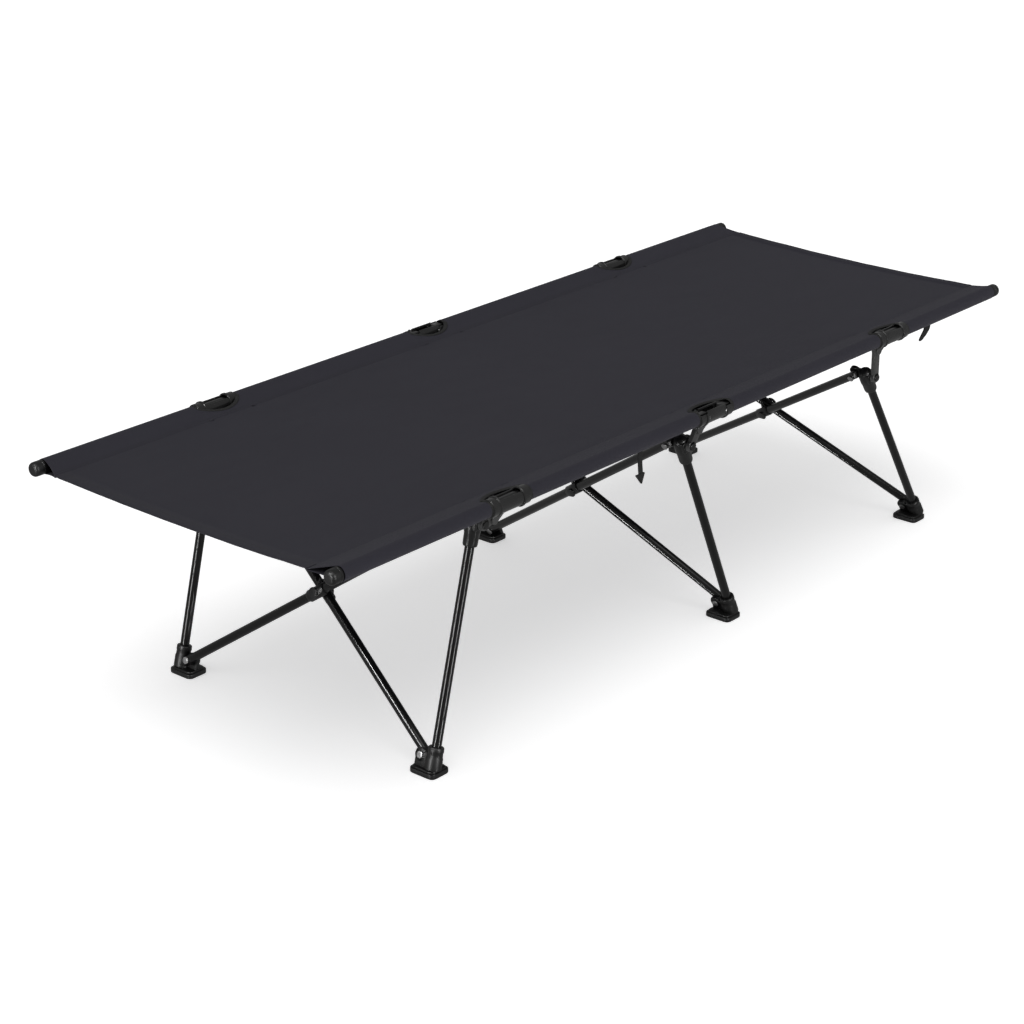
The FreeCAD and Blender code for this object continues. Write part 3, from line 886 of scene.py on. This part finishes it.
def build_sleeve(name, end_name):
    """Cloth sleeve round a rail half, seamed to the panel and cut away at the brackets."""
    side = SIDES[name]
    top, ring, under = sleeve_profile(side)
    bm = bmesh.new()
    uv_layer = bm.loops.layers.uv.new("UVMap")
    flat = {}

    def column(x, station):
        tops, unders = top, under[::-1]
        if station:
            reach = cut_edge(x, station)
            tops = trim_line(top, reach)
            unders = trim_line(under[::-1], reach)
        run = tops + ([] if station else ring) + unders[::-1]
        verts, length = [], 0.0
        for index, point in enumerate(run):
            if index:
                length += (point - run[index - 1]).length
            from_seam = abs(point.y) - SEAM_Y
            from_ring = SEAM_IN - SLEEVE_R - from_seam
            fade = min(1.0, from_seam / FADE_IN, max(0.0, from_ring / FADE_RING))
            ripple = pucker(Vector((x, point.y, 0)), SLEEVE_PUCKER) * fade if index < len(tops) else 0.0
            vert = bm.verts.new((x + flare(x, point.y, end_name), point.y, point.z + ripple))
            flat[vert] = (vert.co.x, length)
            verts.append(vert)
        return verts

    for run in sleeve_columns(end_name):
        station = run[0][1]
        previous = None
        for x, _ in run:
            verts = column(x, station)
            if previous:
                for index in range(len(verts) - 1):
                    if station and index == len(top) - 1:
                        continue
                    quad = (previous[index], previous[index + 1], verts[index + 1], verts[index])
                    face = bm.faces.new(quad)
                    for loop in face.loops:
                        loop[uv_layer].uv = flat[loop.vert]
            previous = verts
    node = name + "_" + end_name + "_sleeve"
    bmesh.ops.remove_doubles(bm, verts=bm.verts, dist=SAME_POINT)
    bmesh.ops.recalc_face_normals(bm, faces=bm.faces)
    add_thickness(bm)
    rail = name + "_" + end_name + "_rail"
    piece = make_piece(node + "_cloth", bm, SLEEVE_DARK, rail, CLOTH_SMOOTH)
    girth = top + ring + under
    width = sum((b - a).length for a, b in zip(girth, girth[1:]))
    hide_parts(node)
    return piece, width


def add_thickness(bm):
    """Give a sheet its thickness, half to each side."""
    bm.normal_update()
    for vert in bm.verts:
        vert.co += vert.normal * CLOTH / 2
    bmesh.ops.solidify(bm, geom=bm.faces[:], thickness=CLOTH)


def build_binding(name, end_name):
    """Bound edges of the cut-outs on one sleeve."""
    side = SIDES[name]
    top, ring, under = sleeve_profile(side)
    bm = bmesh.new()
    centre = Vector((0, side * RAIL_Y, RAIL_Z))
    end = ENDS[end_name]
    spans = [(end_name, -1, 1), ("mid", 0, 1) if end > 0 else ("mid", -1, 0)]
    for station, from_share, to_share in spans:
        path, ups = [], []
        count = 20 if from_share < 0 < to_share else 10
        for index in range(count + 1):
            x = RING_X[station] + CUT_HALF * (from_share + (to_share - from_share) * index / count)
            point = trim_line(top, cut_edge(x, station))[-1]
            path.append(Vector((x, point.y, point.z + TAPE_LIFT)))
            ups.append(Z_AXIS)
        sweep_section(bm, path, EDGE_TAPE, ups)
    corner = trim_line(top, cut_edge(RING_X[end_name] + CUT_HALF, end_name))[-1]
    around = [corner] + top[-1:] + ring + under[:1]
    for x in (RING_X[end_name] - CUT_HALF, RING_X[end_name] + CUT_HALF, end * CUT_HALF):
        path = [Vector((x, p.y, p.z)) for p in around]
        ups = [Vector((0, p.y - centre.y, p.z - centre.z)).normalized() for p in path]
        sweep_section(bm, path, LOOP_TAPE, ups)
    rail = name + "_" + end_name + "_rail"
    return make_piece(name + "_" + end_name + "_binding", bm, TAPE, rail)


def hem_column(index, count):
    """Place of a column of the panel's mesh, with two close columns for the step at each hem."""
    edge = PANEL_END - HEM
    inner = count // 2 - 2
    middle = index - count // 2
    end = 1 if middle > 0 else -1
    places = {inner + 2: PANEL_END, inner + 1: edge, inner: edge - HEM_STEP}
    if abs(middle) in places:
        return end * places[abs(middle)]
    return middle / inner * (edge - HEM_STEP)


def flat_panel(along, across):
    """Flat mesh of the whole panel, with its hems marked."""
    bm = bmesh.new()
    bmesh.ops.create_grid(bm, x_segments=along, y_segments=across, size=1.0)
    hem = bm.verts.layers.float.new("hem")
    for vert in bm.verts:
        column = round((vert.co.x + 1) / 2 * along)
        vert.co = (hem_column(column, along), vert.co.y * SEAM_Y, seam_point(1).z)
        vert[hem] = 1.0 if column < 2 or column > along - 2 else 0.0
    mesh = bpy.data.meshes.new("whole panel")
    bm.to_mesh(mesh)
    bm.free()
    panel = bpy.data.objects.new("whole panel", mesh)
    bpy.context.scene.collection.objects.link(panel)
    return panel


def settle(panel):
    """Let the panel sag between its seams and keep its settled shape."""
    mesh = panel.data
    held = panel.vertex_groups.new(name="held")
    seam_verts = [vert.index for vert in mesh.vertices if abs(vert.co.y) > SEAM_Y - 0.0005]
    held.add(seam_verts, 1.0, "REPLACE")
    rest = [vert.co.copy() for vert in mesh.vertices]
    cloth = panel.modifiers.new("sag", "CLOTH")
    cloth.settings.quality = 8
    cloth.settings.mass = 0.12
    cloth.settings.tension_stiffness = 60
    cloth.settings.compression_stiffness = 60
    cloth.settings.shear_stiffness = 20
    cloth.settings.bending_stiffness = 0.6
    cloth.settings.vertex_group_mass = "held"
    cloth.collision_settings.use_collision = False
    cloth.collision_settings.use_self_collision = False
    for number in range(1, SETTLE_FRAMES):
        bpy.context.scene.frame_set(number)
    settled = panel.evaluated_get(bpy.context.evaluated_depsgraph_get())
    places = [vert.co.copy() for vert in settled.to_mesh().vertices]
    settled.to_mesh_clear()
    panel.modifiers.clear()
    deepest = max(a.z - b.z for a, b in zip(rest, places))
    share = min(1.0, SAG / max(deepest, 1e-6))
    for vert, start, end in zip(mesh.vertices, rest, places):
        vert.co = start.lerp(end, share)


def build_panels():
    """Split the settled panel at the middle of the cot, one half for each pair of rail halves."""
    whole = flat_panel(*PANEL_GRID)
    settle(whole)
    for end_name, end in ENDS.items():
        bm = bmesh.new()
        bm.from_mesh(whole.data)
        bmesh.ops.bisect_plane(bm, geom=bm.verts[:] + bm.edges[:] + bm.faces[:], dist=0.00001,
                               plane_co=(0, 0, 0), plane_no=(-end, 0, 0), clear_outer=True)
        uv_layer = bm.loops.layers.uv.new("UVMap")
        hem = bm.verts.layers.float["hem"]
        for vert in bm.verts:
            from_seam = SEAM_Y - abs(vert.co.y)
            near_edge = 1 - min(1.0, from_seam / EDGE_BAND)
            fade = min(1.0, from_seam / FADE_IN)
            strength = PANEL_PUCKER + EDGE_PUCKER * near_edge
            vert.co.z += pucker(vert.co, strength) * fade + vert[hem] * HEM_RISE
        for face in bm.faces:
            for loop in face.loops:
                loop[uv_layer].uv = (loop.vert.co.x, loop.vert.co.y)
        rails = ["near_" + end_name + "_rail", "far_" + end_name + "_rail"]
        add_thickness(bm)
        name = end_name + "_panel_cloth"
        piece = make_piece(name, bm, CLOTH_DARK, rails[0], CLOTH_SMOOTH)
        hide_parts(end_name + "_panel")
        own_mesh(piece)
    bpy.data.objects.remove(whole)


def build_straps():
    """Storage strap with its hook by the middle, and the pull tab by the foot end."""
    low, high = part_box("head_strap")
    x, y = middle_of("head_strap").xy
    drop = (high.z - low.z) * STRAP_SHARE
    bm = bmesh.new()
    shares = [step / 5 for step in range(6)]
    path = [Vector((x + STRAP_BEND * share ** 2, y, high.z - drop * share)) for share in shares]
    sweep_section(bm, path, STRAP_SECTION, [X_AXIS] * len(path))
    hook = [path[-1] + Vector((a, -HOOK_THICK / 2, b)) for a, b in HOOK_OUTLINE]
    add_plate(bm, round_outline(hook, HOOK_CORNER, 3), Vector((0, HOOK_THICK, 0)), HOOK_EDGE)
    piece = make_piece("head_strap_webbing", bm, STRAP_WEB, "near_head_rail")
    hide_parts("head_strap")
    x, y = middle_of("foot_strap").xy
    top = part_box("foot_strap")[1].z
    bm = bmesh.new()
    tab = [Vector((x + a, y - TAB_THICK / 2, top + b)) for a, b in TAB_OUTLINE]
    add_plate(bm, round_outline(tab, TAB_CORNER, 3), Vector((0, TAB_THICK, 0)), TAB_EDGE)
    piece = make_piece("foot_strap_webbing", bm, STRAP_WEB, "near_foot_rail")
    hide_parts("foot_strap")


def build_cloth():
    """Panels, sleeves and their bound cut-outs."""
    for name in SIDES:
        for end_name in ENDS:
            binding = build_binding(name, end_name)
            sleeve, width = build_sleeve(name, end_name)
            area = width * SLEEVE_END * SLEEVE_KEPT
    build_panels()
    build_straps()


# ============ CAD finishes ============

def paint_frame():
    """Finish of the CAD pieces that stay, by the last word of their names; bars end in a or b."""
    finishes = {"pins": RIVET, "rod": COAT, "rail": RAIL_COAT, "upright": COAT, "a": COAT, "b": COAT}
    for name, node in NODES.items():
        material = finishes.get(name.split("_")[-1])
        if material:
            node.data.materials.clear()
            node.data.materials.append(material)
            node.data.polygons.foreach_set("use_smooth", [True] * len(node.data.polygons))
            weld = node.modifiers.new("weld", "WELD")
            weld.merge_threshold = 0.00001
            node.modifiers.new("shade", "WEIGHTED_NORMAL")


# ============ Stage ============

def build_camera():
    """Camera beyond the head end on the near side, above the bed."""
    level = math.cos(CAMERA_PITCH)
    forward = Vector((level * math.cos(CAMERA_YAW), level * math.sin(CAMERA_YAW), math.sin(CAMERA_PITCH)))
    right = forward.cross(Z_AXIS).normalized()
    up = right.cross(forward)
    roll = Matrix.Rotation(CAMERA_ROLL, 3, forward)
    right, up = roll @ right, roll @ up
    camera = bpy.data.objects.new("camera", bpy.data.cameras.new("camera"))
    turn = Matrix((right, up, -forward)).transposed().to_4x4()
    camera.matrix_world = Matrix.Translation(CAMERA_AT) @ turn
    camera.data.lens = CAMERA_LENS
    camera.data.sensor_width = SENSOR
    bpy.context.scene.collection.objects.link(camera)
    bpy.context.scene.camera = camera


def add_strip(name, place):
    """A tall strip light that only draws highlights along the tubes."""
    light = bpy.data.objects.new(name, bpy.data.lights.new(name, "AREA"))
    light.data.shape = "RECTANGLE"
    light.data.size = STRIP_WIDTH
    light.data.size_y = STRIP_HEIGHT
    light.data.energy = STRIP_POWER
    light.location = place
    light.rotation_mode = "QUATERNION"
    light.rotation_quaternion = (STRIP_AIM - Vector(place)).to_track_quat("-Z", "Y")
    light.visible_diffuse = False
    light.visible_camera = False
    bpy.context.scene.collection.objects.link(light)


def build_stage():
    """Pale floor and soft studio light."""
    bm = bmesh.new()
    bmesh.ops.create_grid(bm, x_segments=1, y_segments=1, size=FLOOR_HALF)
    mesh = bpy.data.meshes.new("floor")
    bm.to_mesh(mesh)
    bm.free()
    floor = bpy.data.objects.new("floor", mesh)
    pale = Shader("pale floor")
    pale.set(Base_Color=(0.9, 0.9, 0.9, 1.0), Roughness=0.9, Specular_IOR_Level=0.1)
    pale.set(Emission_Color=(1.0, 1.0, 1.0, 1.0), Emission_Strength=FLOOR_GLOW)
    mesh.materials.append(pale.material)
    floor.visible_glossy = False
    bpy.context.scene.collection.objects.link(floor)
    world = bpy.data.worlds.new("studio")
    world.use_nodes = True
    background = world.node_tree.nodes["Background"]
    background.inputs["Color"].default_value = (1.0, 1.0, 1.0, 1.0)
    background.inputs["Strength"].default_value = WORLD_LIGHT
    bpy.context.scene.world = world
    sun = bpy.data.objects.new("sun", bpy.data.lights.new("sun", "SUN"))
    sun.data.energy = SUN_POWER
    sun.data.angle = math.radians(SUN_ANGLE)
    sun.rotation_euler = [math.radians(turn) for turn in SUN_TILT]
    bpy.context.scene.collection.objects.link(sun)
    for name, place in STRIP_PLACES.items():
        add_strip(name, place)
    bpy.context.scene.view_settings.view_transform = "Standard"


build_camera()
for station_name in STATIONS:
    for side_name in SIDES:
        build_hub(station_name, side_name)
        build_shoe(station_name, side_name)
        build_bracket(station_name, side_name)
    build_bar_trim(station_name, "a", 1)
    build_bar_trim(station_name, "b", -1)
for side_name in SIDES:
    for half_name in ENDS:
        build_cap(side_name, half_name)
build_cloth()
paint_frame()
build_stage()
